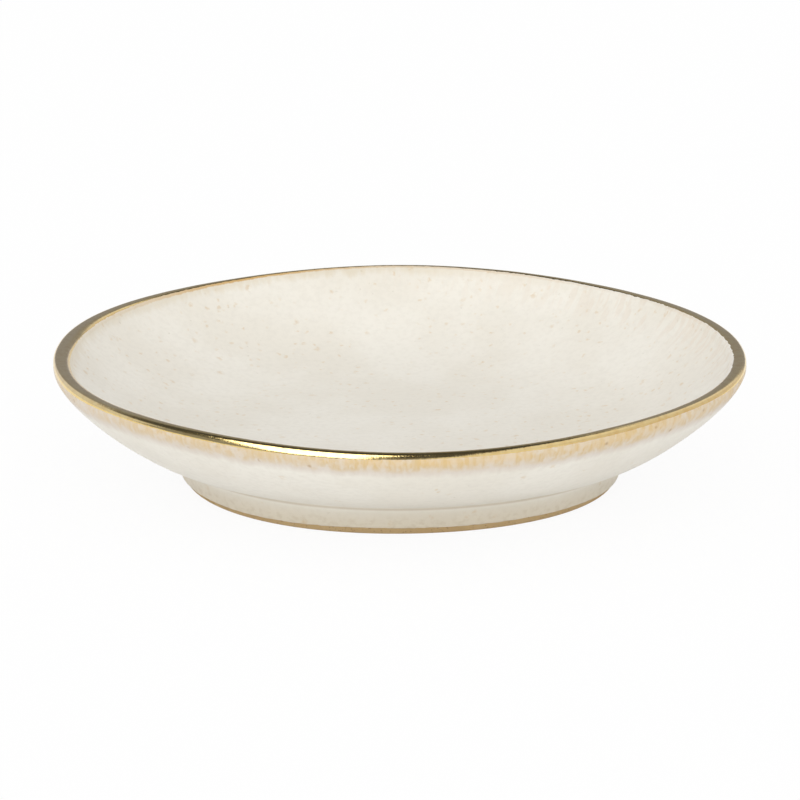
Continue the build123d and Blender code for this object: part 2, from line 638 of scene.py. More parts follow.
@dataclass(frozen=True)
class Sway:
    """How the edge of a coat wanders round the dish.

    Attributes:
        lobes: The slow lobes, in millimetres along the section.
        strokes: Depth of the brush strokes, along the section.
        stroke_width: Width of a stroke round the dish.
        seed: Which strokes these are.
    """

    lobes: tuple[Lobe, ...] = ()
    strokes: float = 0.0
    stroke_width: float = 2 * MM
    seed: float = 1.0
    stroke_detail: float = 3.0
    stroke_roughness: float = 0.65

    def add_to(self, tree: Tree, angle: Source) -> Node:
        """Add nodes for the wandering edge, to a tree of geometry or shader nodes.

        Args:
            tree: Tree that gets the nodes.
            angle: The angle round the dish, in radians.

        Returns:
            The node that gives how far the edge is moved along the section.
        """
        brush = noise(
            tree,
            direction(tree, angle),
            self.stroke_width / DishSection.overall_radius,
            self.stroke_detail,
            W=self.seed,
            Roughness=self.stroke_roughness,
        )
        strokes = maths(tree, "MULTIPLY_ADD", brush, 2 * self.strokes, -self.strokes)
        return maths(tree, "MULTIPLY_ADD", add_lobes(tree, angle, self.lobes), MM, strokes)


@dataclass
class Wheel:
    """The potter's wheel: turns rows of the section into the uneven surface of the dish."""

    section: DishSection = field(default_factory=DishSection)
    unevenness: Unevenness = field(default_factory=Unevenness)
    throwing_ring_depth: float = 0.05 * MM
    throwing_ring_gap: float = 1.9 * MM
    throwing_ring_wander: float = 0.6
    lump_depth: float = 0.07 * MM
    lump_size: float = 7 * MM
    still_radius: float = 8 * MM
    seam_gap: float = 1e-3 * MM
    seed: float = 4.0

    def __post_init__(self) -> None:
        """Draw the section's two outlines as one curve object that the trees sample."""
        self.dish = self.section.dish_outline()
        self.foot = self.section.foot_outline()
        self.rim_top = self.section.rim_top()
        curve = bpy.data.curves.new("section", "CURVE")
        curve.dimensions = "3D"
        for outline in (self.dish, self.foot):
            spline = curve.splines.new("POLY")
            spline.points.add(len(outline.points) - 1)
            for knot, point in zip(spline.points, outline.points):
                knot.co = (point.x, 0, point.y, 1)
        self.section_object = new_object("section", curve)

    def put_away(self) -> None:
        """Remove the section's curve, which isn't part of the dish."""
        bpy.data.objects.remove(self.section_object)

    def add_ripples(self, tree: Tree, group: Node, turn: Node, place: Socket) -> Source:
        """Add nodes for the throwing rings and soft lumps of the surface.

        Args:
            tree: Tree that gets the nodes.
            group: The tree's input node.
            turn: The unit direction from the axis.
            place: The point of the section.

        Returns:
            What gives how far the surface lies below the true one.
        """
        radius, _, height = parts_of(tree, place)
        lumps = noise(
            tree, turned_point(tree, turn, radius, height), self.lump_size, 1.0, W=self.seed
        )
        climb = maths(tree, "SUBTRACT", radius, height)
        ring = maths(tree, "DIVIDE", climb, group.outputs["Throwing Ring Gap"])
        ring_place = turned_point(tree, turn, self.throwing_ring_wander, ring)
        rings = noise(tree, ring_place, 1.0, 1.0, W=self.seed)
        low = product(tree, lumps, group.outputs["Lump Depth"])
        both = maths(tree, "MULTIPLY_ADD", rings, group.outputs["Throwing Ring Depth"], low)
        return product(tree, both, ramp(tree, radius, 0.0, self.still_radius))

    def add_handmade(self, tree: Tree, angle: Source, turn: Node, place: Node) -> Node:
        """Add nodes that move a point of the true dish to the uneven one.

        Args:
            tree: Tree that gets the nodes.
            angle: The angle round the dish, in radians.
            turn: The unit direction from the axis.
            place: The point of the section.

        Returns:
            The node that gives the point in the frame.
        """
        uneven, section = self.unevenness, self.section
        radius, _, height = parts_of(tree, place)
        rim = ramp(tree, radius, section.crease_corner.x, section.glazed_radius)
        below_rim = maths(tree, "SUBTRACT", 1.0, rim)
        foot = product(tree, ramp(tree, radius, 0.0, section.foot_radius, smooth=False), below_rim)
        moved: dict[str, Source] = {"radius": radius, "height": height}
        for part, weight, amount, lobes in (
            ("radius", rim, uneven.rim_round, uneven.rim_round_lobes),
            ("radius", foot, uneven.foot_round, uneven.foot_round_lobes),
            ("height", rim, uneven.rim_height, uneven.rim_height_lobes),
            ("height", rim, uneven.front_height, uneven.front_lobes),
        ):
            swing = product(tree, weight, amount)
            lobe_sum = add_lobes(tree, angle, lobes)
            moved[part] = maths(tree, "MULTIPLY_ADD", lobe_sum, swing, moved[part])
        point = turned_point(tree, turn, moved["radius"], moved["height"])
        return vectors(tree, "SUBTRACT", point, uneven.middle())

    def add_shoulders(self, tree: Tree, angle: Source, reach: Source) -> Source:
        """Add nodes for the shoulders of the flattened lip.

        Args:
            tree: Tree that gets the nodes.
            angle: The angle round the dish, in radians.
            reach: The distance along the section from the top of the rim.

        Returns:
            What gives how far the surface stands proud of the round lip.
        """
        proud: Source = 0.0
        for width, height in self.unevenness.shoulders:
            swell = maths(tree, "SINE", ramp(tree, reach, 0.0, width, 0.0, math.pi, smooth=False))
            proud = maths(tree, "MULTIPLY_ADD", product(tree, swell, swell), height, proud)
        return product(tree, proud, add_lobes(tree, angle, self.unevenness.shoulder_lobes))

    def turned_tree(self, name: str, start: Sway, end: Sway) -> Tree:
        """Build the tree that turns a piece's rows into its closed surface.

        Args:
            name: The piece's name.
            start: How the piece's first edge wanders.
            end: How its last edge wanders.

        Returns:
            The tree, whose named inputs hold the sizes.
        """
        tree = bpy.data.node_groups.new(f"{name}_turned", "GeometryNodeTree")
        for socket, kind in (
            ("Rows", "Geometry"),
            ("Section", "Object"),
            ("Columns", "Int"),
            ("Throwing Ring Gap", "Float"),
            ("Throwing Ring Depth", "Float"),
            ("Lump Depth", "Float"),
            ("Material", "Material"),
        ):
            tree.interface.new_socket(socket, in_out="INPUT", socket_type=f"NodeSocket{kind}")
        tree.interface.new_socket("Piece", in_out="OUTPUT", socket_type="NodeSocketGeometry")
        group = add_node(tree, "NodeGroupInput")
        rows, columns = group.outputs["Rows"], group.outputs["Columns"]

        sizes = add_node(
            tree, "GeometryNodeAttributeDomainSize", {"Geometry": rows}, component="MESH"
        )
        count = sizes.outputs["Point Count"]
        ring_points = maths(tree, "ADD", columns, 1.0)
        grid = add_node(
            tree, "GeometryNodeMeshGrid", {"Vertices X": ring_points, "Vertices Y": count}
        )
        index = add_node(tree, "GeometryNodeInputIndex")
        row = maths(tree, "MODULO", index, count)
        column = maths(tree, "FLOOR", maths(tree, "DIVIDE", index, count))
        angle = product(tree, maths(tree, "DIVIDE", column, columns), 2 * math.pi)
        turn = direction(tree, angle)

        read: dict[str, Node] = {}
        for value, kind in ROW_VALUES.items():
            named = add_node(
                tree, "GeometryNodeInputNamedAttribute", {"Name": value}, data_type=kind
            )
            read[value] = add_node(
                tree,
                "GeometryNodeSampleIndex",
                {"Geometry": rows, "Value": named, "Index": row},
                data_type=kind,
                domain="POINT",
            )
        length = read["length"]
        for pull, sway in (("start_pull", start), ("end_pull", end)):
            if sway.lobes or sway.strokes:
                moved = sway.add_to(tree, angle)
                length = maths(tree, "MULTIPLY_ADD", moved, read[pull], length)
        on_foot = maths(tree, "MULTIPLY_ADD", read["line"], self.dish.length, length)
        reach = maths(tree, "SUBTRACT", on_foot, self.rim_top)

        outlines = add_node(tree, "GeometryNodeObjectInfo", {"Object": group.outputs["Section"]})
        sample = add_node(
            tree,
            "GeometryNodeSampleCurve",
            {"Curves": outlines.outputs["Geometry"], "Length": length, "Curve Index": read["line"]},
            mode="LENGTH",
        )
        true_place = sample.outputs["Position"]
        ripples = self.add_ripples(tree, group, turn, true_place)
        rippled = maths(tree, "MULTIPLY_ADD", ripples, read["skin"], read["depth"])
        depth = maths(tree, "SUBTRACT", rippled, self.add_shoulders(tree, angle, reach))
        out, _, up = parts_of(tree, sample.outputs["Tangent"])
        inwards = compose(tree, X=up, Z=product(tree, out, -1.0))
        sunk = vectors(tree, "SCALE", inwards, Scale=depth)
        handmade = self.add_handmade(tree, angle, turn, vectors(tree, "ADD", true_place, sunk))

        piece = grid.outputs["Mesh"]
        for kind, inputs, settings in (
            ("SetPosition", {"Position": handmade}, {}),
            (
                "StoreNamedAttribute",
                {"Name": "reach", "Value": reach},
                {"data_type": "FLOAT", "domain": "POINT"},
            ),
            (
                "StoreNamedAttribute",
                {"Name": "UVMap", "Value": grid.outputs["UV Map"]},
                {"data_type": "FLOAT2", "domain": "CORNER"},
            ),
            ("MergeByDistance", {"Distance": self.seam_gap}, {}),
            ("FlipFaces", {}, {}),
            ("SetShadeSmooth", {}, {}),
            ("RealizeInstances", {}, {}),
            ("SetMaterial", {"Material": group.outputs["Material"]}, {}),
        ):
            piece = add_node(tree, f"GeometryNode{kind}", {0: piece, **inputs}, **settings)
        add_node(tree, "NodeGroupOutput", {"Piece": piece})
        return tree

    def throw(
        self,
        name: str,
        rows: Sequence[Row],
        columns: int,
        material: bpy.types.Material,
        start: Sway,
        end: Sway,
    ) -> bpy.types.Object:
        """Turn rows into a finished piece.

        Args:
            name: The piece's name.
            rows: Its rings, in an order that keeps the clay on the right.
            columns: How many facets stand round the dish.
            material: The piece's finish.
            start: How its first edge wanders.
            end: How its last edge wanders.

        Returns:
            The piece as a plain mesh.
        """
        row_mesh = bpy.data.meshes.new(f"{name}_rows")
        row_mesh.vertices.add(len(rows))
        for value, kind in ROW_VALUES.items():
            values = [getattr(row, value) for row in rows]
            row_mesh.attributes.new(value, kind, "POINT").data.foreach_set("value", values)
        outline = new_object(f"{name}_outline", row_mesh)
        tree = self.turned_tree(name, start, end)
        modifier = outline.modifiers.new("turned", "NODES")
        modifier.node_group = tree
        values = {
            "Section": self.section_object,
            "Columns": columns,
            "Throwing Ring Gap": self.throwing_ring_gap,
            "Throwing Ring Depth": self.throwing_ring_depth,
            "Lump Depth": self.lump_depth,
            "Material": material,
        }
        for item in tree.interface.items_tree:
            if item.in_out == "INPUT" and item.name in values:
                modifier[item.identifier] = values[item.name]
        graph = bpy.context.evaluated_depsgraph_get()
        mesh = bpy.data.meshes.new_from_object(outline.evaluated_get(graph), depsgraph=graph)
        mesh.name = name
        bpy.data.objects.remove(outline)
        return new_object(name, mesh)


# The gold's edges, which the glaze beside them follows: how far the gold reaches from the top of
# the rim, and how its edge wanders from that

GOLD_INSIDE_WIDTH = 1.24 * MM
GOLD_INSIDE_SWAY = Sway(
    ((1, 0.6, 52), (2, 0.33, 102), (3, 0.17, 112)), 0.3 * MM, stroke_width=0.9 * MM, seed=3.0
)
GOLD_OUTSIDE_WIDTH = 1.6 * MM
GOLD_OUTSIDE_SWAY = Sway(
    ((1, 0.2, 225), (2, 0.05, 250), (3, 0.1, 232), (7, 0.13, 249)),
    0.14 * MM,
    stroke_width=1.6 * MM,
    seed=5.0,
)


# Finishes

Layer = tuple[str, Source]


def layered(tree: Tree, base: str, layers: Sequence[Layer]) -> Any:
    """Add nodes that lay colours over a base.

    Args:
        tree: Tree that gets the nodes.
        base: Hex colour of the base.
        layers: Hex colour of each layer, and what gives how far it covers, from 0 to 1.

    Returns:
        What gives the colour.
    """
    colour: Any = linear(base)
    for code, cover in layers:
        inputs = {"Factor": cover, "A": colour, "B": linear(code)}
        colour = add_node(tree, "ShaderNodeMix", inputs, data_type="RGBA")
    return colour


@dataclass(frozen=True)
class Mask:
    """How strongly a colour shows over noise, as patches.

    Attributes:
        low: Noise up to which it shows least.
        high: Noise from which it shows in full.
        least: How strongly it shows at least, from 0 to 1.
        smooth: Whether the patches' edges are smoothed.
    """

    low: float
    high: float
    least: float = 0.0
    smooth: bool = True

    def over(self, tree: Tree, value: Source) -> Node:
        """Add the node that gives the strength over a noise."""
        return ramp(tree, value, self.low, self.high, self.least, smooth=self.smooth)


@dataclass(frozen=True)
class Belt:
    """A belt of colour round the dish.

    Attributes:
        colour: Its hex colour.
        start: Distance at which it is half risen, or None if it has no first edge.
        end: Distance at which it is half fallen, or None if it has no last edge.
        soft: Over what distance its edges spread.
        cover: How strongly it covers, from 0 to 1.
        lobes: How that changes round the dish.
    """

    colour: str
    start: float | None
    end: float | None
    soft: float
    cover: float
    lobes: tuple[Lobe, ...] = ()

    def layer(self, tree: Tree, distance: Source, angle: Source, *masks: Source) -> Layer:
        """Add nodes for the belt.

        Args:
            tree: Tree that gets the nodes.
            distance: The distance that the belt's edges are measured in.
            angle: The angle round the dish, in radians.
            *masks: How strongly the belt shows through each, from 0 to 1.

        Returns:
            The belt's colour and what gives how far it covers.
        """
        lobes = add_lobes(tree, angle, self.lobes)
        cover = maths(tree, "ADD", lobes, self.cover, use_clamp=True)
        belt = band(tree, distance, self.start, self.end, self.soft)
        return self.colour, product(tree, belt, cover, *masks)


@dataclass(frozen=True)
class Spots:
    """Soft round spots of one colour, each somewhere in its own cell.

    Attributes:
        colour: Their hex colour.
        gap: How far apart the cells are.
        size: Radius of a spot at half its strength.
        share: Share of the cells that have a spot.
        cover: How strongly a spot covers, from 0 to 1.
    """

    colour: str
    gap: float
    size: float
    share: float
    cover: float
    softness = 1.6
    fading = 0.4

    def layer(self, tree: Tree, place: Source, *masks: Source) -> Layer:
        """Add nodes for the spots.

        Args:
            tree: Tree that gets the nodes.
            place: The Object coordinates, or those a little shaken.
            *masks: How strongly the spots show through each, from 0 to 1.

        Returns:
            The spots' colour and what gives how far they cover.
        """
        cells = add_node(tree, "ShaderNodeTexVoronoi", {"Vector": place, "Scale": 1 / self.gap})
        chance = add_node(tree, "ShaderNodeSeparateColor", {"Color": cells.outputs["Color"]})
        radius = self.size / self.gap
        spot = band(tree, cells, None, radius, self.softness * radius)
        chosen = band(tree, chance, 1 - self.share, None, self.fading)
        return self.colour, product(tree, spot, chosen, self.cover, *masks)


@dataclass(frozen=True)
class Finish:
    """What a piece is covered with."""

    name = "finish"
    bump_strength = 0.5

    def shader_inputs(self, tree: Tree) -> dict[str, Any]:
        """Add the finish's nodes and return what goes into its principled shader."""
        raise NotImplementedError

    def bump(self, tree: Tree, height: Source, depth: float) -> Node:
        """Add the node that gives the normal of a skin that is this deep."""
        inputs = {"Height": height, "Strength": self.bump_strength, "Distance": depth}
        return add_node(tree, "ShaderNodeBump", inputs)

    def material(self) -> bpy.types.Material:
        """Build the material."""
        material = bpy.data.materials.new(self.name)
        material.use_nodes = True
        tree = material.node_tree
        tree.nodes.clear()
        shader = add_node(tree, "ShaderNodeBsdfPrincipled", self.shader_inputs(tree))
        add_node(tree, "ShaderNodeOutputMaterial", {"Surface": shader})
        return material


@dataclass(frozen=True)
class BareStoneware(Finish):
    """Stoneware clay fired without glaze: dry, toasted tan and sandy with grog."""

    name = "bare_toasted_stoneware"
    bump_strength = 0.6
    toasted: str = "#C0A070"
    pale: str = "#CDB58A"
    grog: str = "#7C5C3C"
    patch_size: float = 5 * MM
    patch_detail: float = 4.0
    grog_gap: float = 0.5 * MM
    grog_size: float = 0.2
    grog_soft: float = 0.15
    grog_cover: float = 0.6
    tooth: float = 0.05 * MM
    roughness: float = 0.85

    def shader_inputs(self, tree: Tree) -> dict[str, Any]:
        """Mottled tan with darker grains that stand a little proud."""
        place = add_node(tree, "ShaderNodeTexCoord").outputs["Object"]
        patches = noise(tree, place, self.patch_size, self.patch_detail)
        grains = add_node(
            tree, "ShaderNodeTexVoronoi", {"Vector": place, "Scale": 1 / self.grog_gap}
        )
        grog = band(tree, grains, None, self.grog_size, self.grog_soft)
        layers = [(self.pale, patches), (self.grog, product(tree, grog, self.grog_cover))]
        return {
            "Base Color": layered(tree, self.toasted, layers),
            "Roughness": self.roughness,
            "Normal": self.bump(tree, grains, self.tooth),
        }


@dataclass(frozen=True)
class CreamGlaze(Finish):
    """Satin stoneware glaze: a milky cream, faintly mottled.

    The soft smudges and brown specks where iron in the clay bleeds through are what give it away
    as stoneware.
    """

    name = "cream_satin_glaze"
    cream: str = "#EFEBE1"
    cloud: str = "#E6E0D3"
    cloud_size: float = 14 * MM
    cloud_detail: float = 3.0
    cloud_mask: Mask = Mask(0.35, 0.65)
    cloud_cover: float = 0.5
    mottle: str = "#DDD8CD"
    mottle_size: float = 0.9 * MM
    mottle_detail: float = 4.0
    mottle_mask: Mask = Mask(0.4, 0.7)
    mottle_cover: float = 0.25
    dark_pits: Spots = Spots("#BDB6A2", 1.9 * MM, 0.13 * MM, 0.45, 0.4)
    smudges: Spots = Spots("#D6BC93", 1.5 * MM, 0.27 * MM, 0.5, 0.5)
    smudge_mask: Mask = Mask(0.345, 0.595)
    blots: Spots = Spots("#D6BC93", 4.1 * MM, 0.5 * MM, 0.5, 0.45)
    blot_mask: Mask = Mask(0.4, 0.6)
    specks: Spots = Spots("#B08C5E", 6.5 * MM, 0.2 * MM, 0.35, 0.55)
    shake: float = 1.35 * MM
    roughness: float = 0.5
    gloss: float = 0.2
    pitting: float = 0.02 * MM
    pit_size: float = 0.7 * MM
    pit_detail: float = 2.0

    def break_layers(self, tree: Tree, place: Socket, reach: Socket) -> list[Layer]:
        """Add the colours that the glaze breaks to, which each coat has its own of."""
        return []

    def shader_inputs(self, tree: Tree) -> dict[str, Any]:
        """Cloudy cream, its breaking colours, iron spots and a finely pitted skin."""
        place = add_node(tree, "ShaderNodeTexCoord").outputs["Object"]
        reach = add_node(tree, "ShaderNodeAttribute", attribute_name="reach").outputs["Fac"]
        clouds = noise(tree, place, self.cloud_size, self.cloud_detail)
        mottle = noise(tree, place, self.mottle_size, self.mottle_detail)
        shift = vectors(tree, "SCALE", mottle.outputs["Color"], Scale=self.shake)
        shaken = vectors(tree, "ADD", place, shift)
        cloud_cover = product(tree, self.cloud_mask.over(tree, clouds), self.cloud_cover)
        mottle_cover = product(tree, self.mottle_mask.over(tree, mottle), self.mottle_cover)
        layers = [
            (self.cloud, cloud_cover),
            (self.mottle, mottle_cover),
            self.dark_pits.layer(tree, shaken),
            *self.break_layers(tree, place, reach),
            self.smudges.layer(tree, shaken, self.smudge_mask.over(tree, clouds)),
            self.blots.layer(tree, shaken, self.blot_mask.over(tree, mottle)),
            self.specks.layer(tree, shaken),
        ]
        pits = noise(tree, place, self.pit_size, self.pit_detail)
        return {
            "Base Color": layered(tree, self.cream, layers),
            "Roughness": self.roughness,
            "Specular IOR Level": self.gloss,
            "Normal": self.bump(tree, pits, self.pitting),
        }


@dataclass(frozen=True)
class RimGlaze(CreamGlaze):
    """Cream glaze that breaks to warmer colours where it thinned beside the gold."""

    gold_width: float = GOLD_OUTSIDE_WIDTH
    gold_sway: Sway = GOLD_OUTSIDE_SWAY
    outwards: float = 1.0
    streak_detail: float = 3.0

    def angle(self, tree: Tree, place: Socket) -> Node:
        """Add nodes for the angle round the dish, in radians."""
        across, along, _ = parts_of(tree, place)
        return maths(tree, "ARCTAN2", along, across)

    def from_gold(self, tree: Tree, angle: Source, reach: Socket) -> Node:
        """Add nodes for the distance from the gold's edge, down the wall."""
        even = maths(tree, "SUBTRACT", reach, self.gold_sway.add_to(tree, angle))
        return maths(tree, "MULTIPLY_ADD", even, self.outwards, -self.gold_width)

    def ragged(self, tree: Tree, distance: Source, shift: Source, swing: float) -> Node:
        """Add nodes that shift a distance by noise, to and fro by up to half a swing."""
        return maths(
            tree, "ADD", distance, maths(tree, "MULTIPLY_ADD", shift, swing, -swing / 2)
        )

    def streaks(
        self, tree: Tree, place: Socket, reach: Socket, width: float, run: float
    ) -> Node:
        """Add noise drawn out down the wall, as glaze that ran, or round it.

        Args:
            tree: Tree that gets the nodes.
            place: The Object coordinates.
            reach: The distance from the top of the rim.
            width: Width of a streak round the dish.
            run: Length of a streak down the wall.

        Returns:
            The node that gives the noise, from 0 to 1.
        """
        flat = vectors(tree, "MULTIPLY", place, (1.0, 1.0, 0.0))
        turn = vectors(tree, "NORMALIZE", flat)
        widths_round = DishSection.overall_radius / width
        spot = turned_point(tree, turn, widths_round, product(tree, reach, 1 / run))
        return noise(tree, spot, 1.0, self.streak_detail)


@dataclass(frozen=True)
class InsideGlaze(RimGlaze):
    """The cream glaze inside, with a faint tan blush at the back and left under the gold, partly
    painted shade.
    """

    name = "cream_satin_glaze_inside"
    gold_width: float = GOLD_INSIDE_WIDTH
    gold_sway: Sway = GOLD_INSIDE_SWAY
    outwards: float = -1.0
    run_width: float = 1.3 * MM
    run_length: float = 6 * MM
    run_swing: float = 3 * MM
    run_mask: Mask = Mask(0.47, 0.59)
    rose: Belt = Belt("#DCC6AE", None, 5 * MM, 5 * MM, 0.05, ((1, 0.11, 25), (2, 0.05, 15)))
    # Tan blush under the gold, strongest at the back and left: partly glaze broken thin, partly
    # painted shade on the inner wall.
    blush: Belt = Belt(
        "#D3C09C", None, 1.3 * MM, 1.6 * MM, 0.1, ((1, 0.22, 145), (3, 0.12, 100))
    )
    amber: Belt = Belt(
        "#D0A866",
        None,
        0.4 * MM,
        0.3 * MM,
        0.1,
        ((1, 0.3, 105), (2, 0.25, 115), (4, 0.2, 119), (7, 0.1, 119)),
    )

    def break_layers(self, tree: Tree, place: Socket, reach: Socket) -> list[Layer]:
        """Faint runs of rose and tan, the tan partly painted shade, and a thin amber line along the
        brushed edge.
        """
        angle = self.angle(tree, place)
        distance = self.from_gold(tree, angle, reach)
        runs = self.streaks(tree, place, reach, self.run_width, self.run_length)
        ragged = self.ragged(tree, distance, runs, self.run_swing)
        return [
            self.rose.layer(tree, distance, angle, self.run_mask.over(tree, runs)),
            self.blush.layer(tree, ragged, angle),
            self.amber.layer(tree, distance, angle),
        ]


@dataclass(frozen=True)
class OutsideGlaze(RimGlaze):
    """The cream glaze outside, breaking to tan under the gold, and warmer and darker on the foot,
    partly with painted shade.

    The tan band with its fine runs shows how thin the glaze is over an edge. The darker lines at the
    crease and over the turned grooves are partly tan glaze broken thin and partly painted shade in
    the grooves.

    Attributes:
        narrower: How much narrower the bands are round the dish, in millimetres.
        crease: Distance of the crease from the top of the rim, from which the belts of the foot
            are measured.
        line_gaps: Distance from the crease of each darker line, partly tan glaze and partly painted
            shade.
    """

    name = "cream_satin_glaze_outside"
    smudges: Spots = Spots("#D6BC93", 3.2 * MM, 0.27 * MM, 0.5, 0.5)
    specks: Spots = Spots("#B08C5E", 9 * MM, 0.2 * MM, 0.35, 0.55)
    run_width: float = 0.55 * MM
    run_length: float = 3.5 * MM
    run_swing: float = 0.9 * MM
    run_mask: Mask = Mask(0.36, 0.62, 0.5, smooth=False)
    wide_run_width: float = 2.2 * MM
    wide_run_length: float = 5 * MM
    wide_run_swing: float = 1.6 * MM
    wide_run_mask: Mask = Mask(0.35, 0.62, 0.3, smooth=False)
    pool_width: float = 1.0 * MM
    pool_length: float = 1.5 * MM
    pool_mask: Mask = Mask(0.4, 0.54, 0.3, smooth=False)
    narrower: tuple[Lobe, ...] = ((1, 0.1, 200), (2, 0.25, 232))
    # Lilac-grey edge below the tan band: partly the glaze's breaking colour, partly a painted shade
    # line.
    mauve_and_shade: Belt = Belt("#CFBFB2", None, 3.2 * MM, 1.8 * MM, 0.5)
    tan: Belt = Belt(
        "#D6BE94", None, 2.1 * MM, 1.3 * MM, 0.74, ((9, 0.08, 271), (1, 0.25, 305), (2, 0.08, 280))
    )
    amber: Belt = Belt(
        "#E0BC76", None, 1.2 * MM, 1.2 * MM, 0.22, ((9, 0.12, 271), (1, 0.14, 325), (2, 0.1, 270))
    )
    rust: Spots = Spots("#A9845C", 2.6 * MM, 0.28 * MM, 0.35, 0.7)
    rust_start: float = 0.2 * MM
    rust_soft: float = 0.6 * MM
    crease: float = 24 * MM
    # Warmer, darker glaze on the foot: partly the glaze's own colour, partly painted shade under the
    # overhanging wall.
    warm_glaze_and_shade: Belt = Belt("#E1D7C3", 1.8 * MM, None, 4.5 * MM, 0.78)
    # Paler strip just under the crease: partly glaze pooled there, partly painted light that evens
    # out the shade of the crease.
    pale: Belt = Belt("#FAF7F0", 0.0, 1.2 * MM, 1.4 * MM, 0.62)
    patches: Belt = Belt("#BFAE8F", 2.5 * MM, None, 2 * MM, 0.22)
    patch_width: float = 1.8 * MM
    patch_height: float = 0.9 * MM
    patch_mask: Mask = Mask(0.435, 0.685)
    # Darker lines at the crease and over the turned grooves: partly tan glaze broken thin, partly
    # painted shade in the grooves.
    line: str = "#BFAE8F"
    line_gaps: tuple[float, ...] = (-1.1 * MM, -0.1 * MM, 0.9 * MM)
    line_width: float = 0.4 * MM
    line_cover: float = 0.5

    def foot_layers(self, tree: Tree, place: Socket, reach: Socket, angle: Node) -> list[Layer]:
        """Warmer glaze with painted shade from above the crease down, paler glaze with painted light
        in the crease, darker lines with painted shade in the grooves, and tan patches.
        """
        below = maths(tree, "SUBTRACT", reach, self.crease)
        broken = self.streaks(tree, place, reach, self.patch_width, self.patch_height)
        half = self.line_width / 2
        lines = [
            Belt(self.line, gap - half, gap + half, self.line_width, self.line_cover)
            for gap in self.line_gaps
        ]
        return [
            self.warm_glaze_and_shade.layer(tree, below, angle),
            self.pale.layer(tree, below, angle),
            self.patches.layer(tree, below, angle, self.patch_mask.over(tree, broken)),
            *[line.layer(tree, below, angle) for line in lines],
        ]

    def break_layers(self, tree: Tree, place: Socket, reach: Socket) -> list[Layer]:
        """Bands under the gold whose edges follow the runs, and the colours of the foot."""
        angle = self.angle(tree, place)
        distance = self.from_gold(tree, angle, reach)
        uneven = maths(tree, "MULTIPLY_ADD", add_lobes(tree, angle, self.narrower), MM, distance)
        runs = self.streaks(tree, place, reach, self.run_width, self.run_length)
        wide_runs = self.streaks(tree, place, reach, self.wide_run_width, self.wide_run_length)
        pools = self.streaks(tree, place, reach, self.pool_width, self.pool_length)
        ragged = self.ragged(tree, uneven, runs, self.run_swing)
        ragged = self.ragged(tree, ragged, wide_runs, self.wide_run_swing)
        fine = self.run_mask.over(tree, runs)
        blotches = self.wide_run_mask.over(tree, wide_runs)
        in_tan = band(tree, ragged, self.rust_start, self.tan.end, self.rust_soft)
        return [
            *self.foot_layers(tree, place, reach, angle),
            # Lilac-grey edge of the tan band, partly a painted shade line.
            self.mauve_and_shade.layer(tree, ragged, angle),
            self.tan.layer(tree, ragged, angle, fine, self.pool_mask.over(tree, pools)),
            self.amber.layer(tree, ragged, angle, blotches),
            self.rust.layer(tree, place, in_tan),
        ]


@dataclass(frozen=True)
class GoldLustre(Finish):
    """Gold lustre brushed on and fired last: bright metal with a faintly wrinkled skin.

    Attributes:
        smooth: Roughness at the grain's lowest.
        dull: Roughness at its highest.
    """

    name = "brushed_gold_lustre"
    gold: str = "#EED491"
    thin: str = "#E6C47E"
    thin_mask: Mask = Mask(0.4, 0.7)
    thin_cover: float = 0.7
    wrinkle_size: float = 1.1 * MM
    wrinkle_detail: float = 4.0
    wrinkle: float = 0.03 * MM
    grain_size: float = 0.25 * MM
    grain_detail: float = 2.0
    grain: float = 0.7
    smooth: float = 0.06
    dull: float = 0.22

    def shader_inputs(self, tree: Tree) -> dict[str, Any]:
        """Warm metal, a touch redder where it is thin, over fine wrinkles."""
        place = add_node(tree, "ShaderNodeTexCoord").outputs["Object"]
        wrinkles = noise(tree, place, self.wrinkle_size, self.wrinkle_detail)
        grain = noise(tree, place, self.grain_size, self.grain_detail)
        skin = maths(tree, "MULTIPLY_ADD", grain, self.grain, wrinkles)
        thin = product(tree, self.thin_mask.over(tree, wrinkles), self.thin_cover)
        return {
            "Base Color": layered(tree, self.gold, [(self.thin, thin)]),
            "Metallic": 1.0,
            "Roughness": ramp(tree, grain, 0.0, 1.0, self.smooth, self.dull, smooth=False),
            "Normal": self.bump(tree, skin, self.wrinkle),
        }


# The dish's pieces

@dataclass
class TurnedPiece:
    """A piece turned on the wheel that stands for one solid of the frame.

    Attributes:
        wheel: The wheel that turns it.
        finish: What it is covered with.
        columns: How many facets stand round the dish.
        name: The piece's name.
        node: The CAD node that it stands for.
        slot: The record's material slot for its finish; not used.
        start: How its first edge wanders.
        end: How its last edge wanders.
        gap: How far apart its rings may be where it shows.
        bend: How many degrees it may turn between two of them.
        hidden_gap: How far apart its rings may be where it doesn't show.
        hidden_bend: How many degrees it may turn there.
    """

    wheel: Wheel
    finish: Finish
    columns: int = 384
    name: str = "piece"
    node: str = "node"
    slot: str = "slot"
    start: Sway = Sway()
    end: Sway = Sway()
    gap: float = 0.4 * MM
    bend: float = 5.0
    hidden_gap: float = 2 * MM
    hidden_bend: float = 12.0

    def rows(self) -> Iterator[Row]:
        """Rings of the piece, with the clay on the right of their order."""
        raise NotImplementedError

    def make(self) -> bpy.types.Object:
        """Turn the piece, dress it and set it in the frame.

        Returns:
            The finished piece.
        """
        piece = self.wheel.throw(
            self.name, list(self.rows()), self.columns, self.finish.material(), self.start, self.end
        )
        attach(piece, "root")
        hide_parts(self.node)
        log.info("%s stands for %s with %d faces", self.name, self.node, len(piece.data.polygons))
        return piece


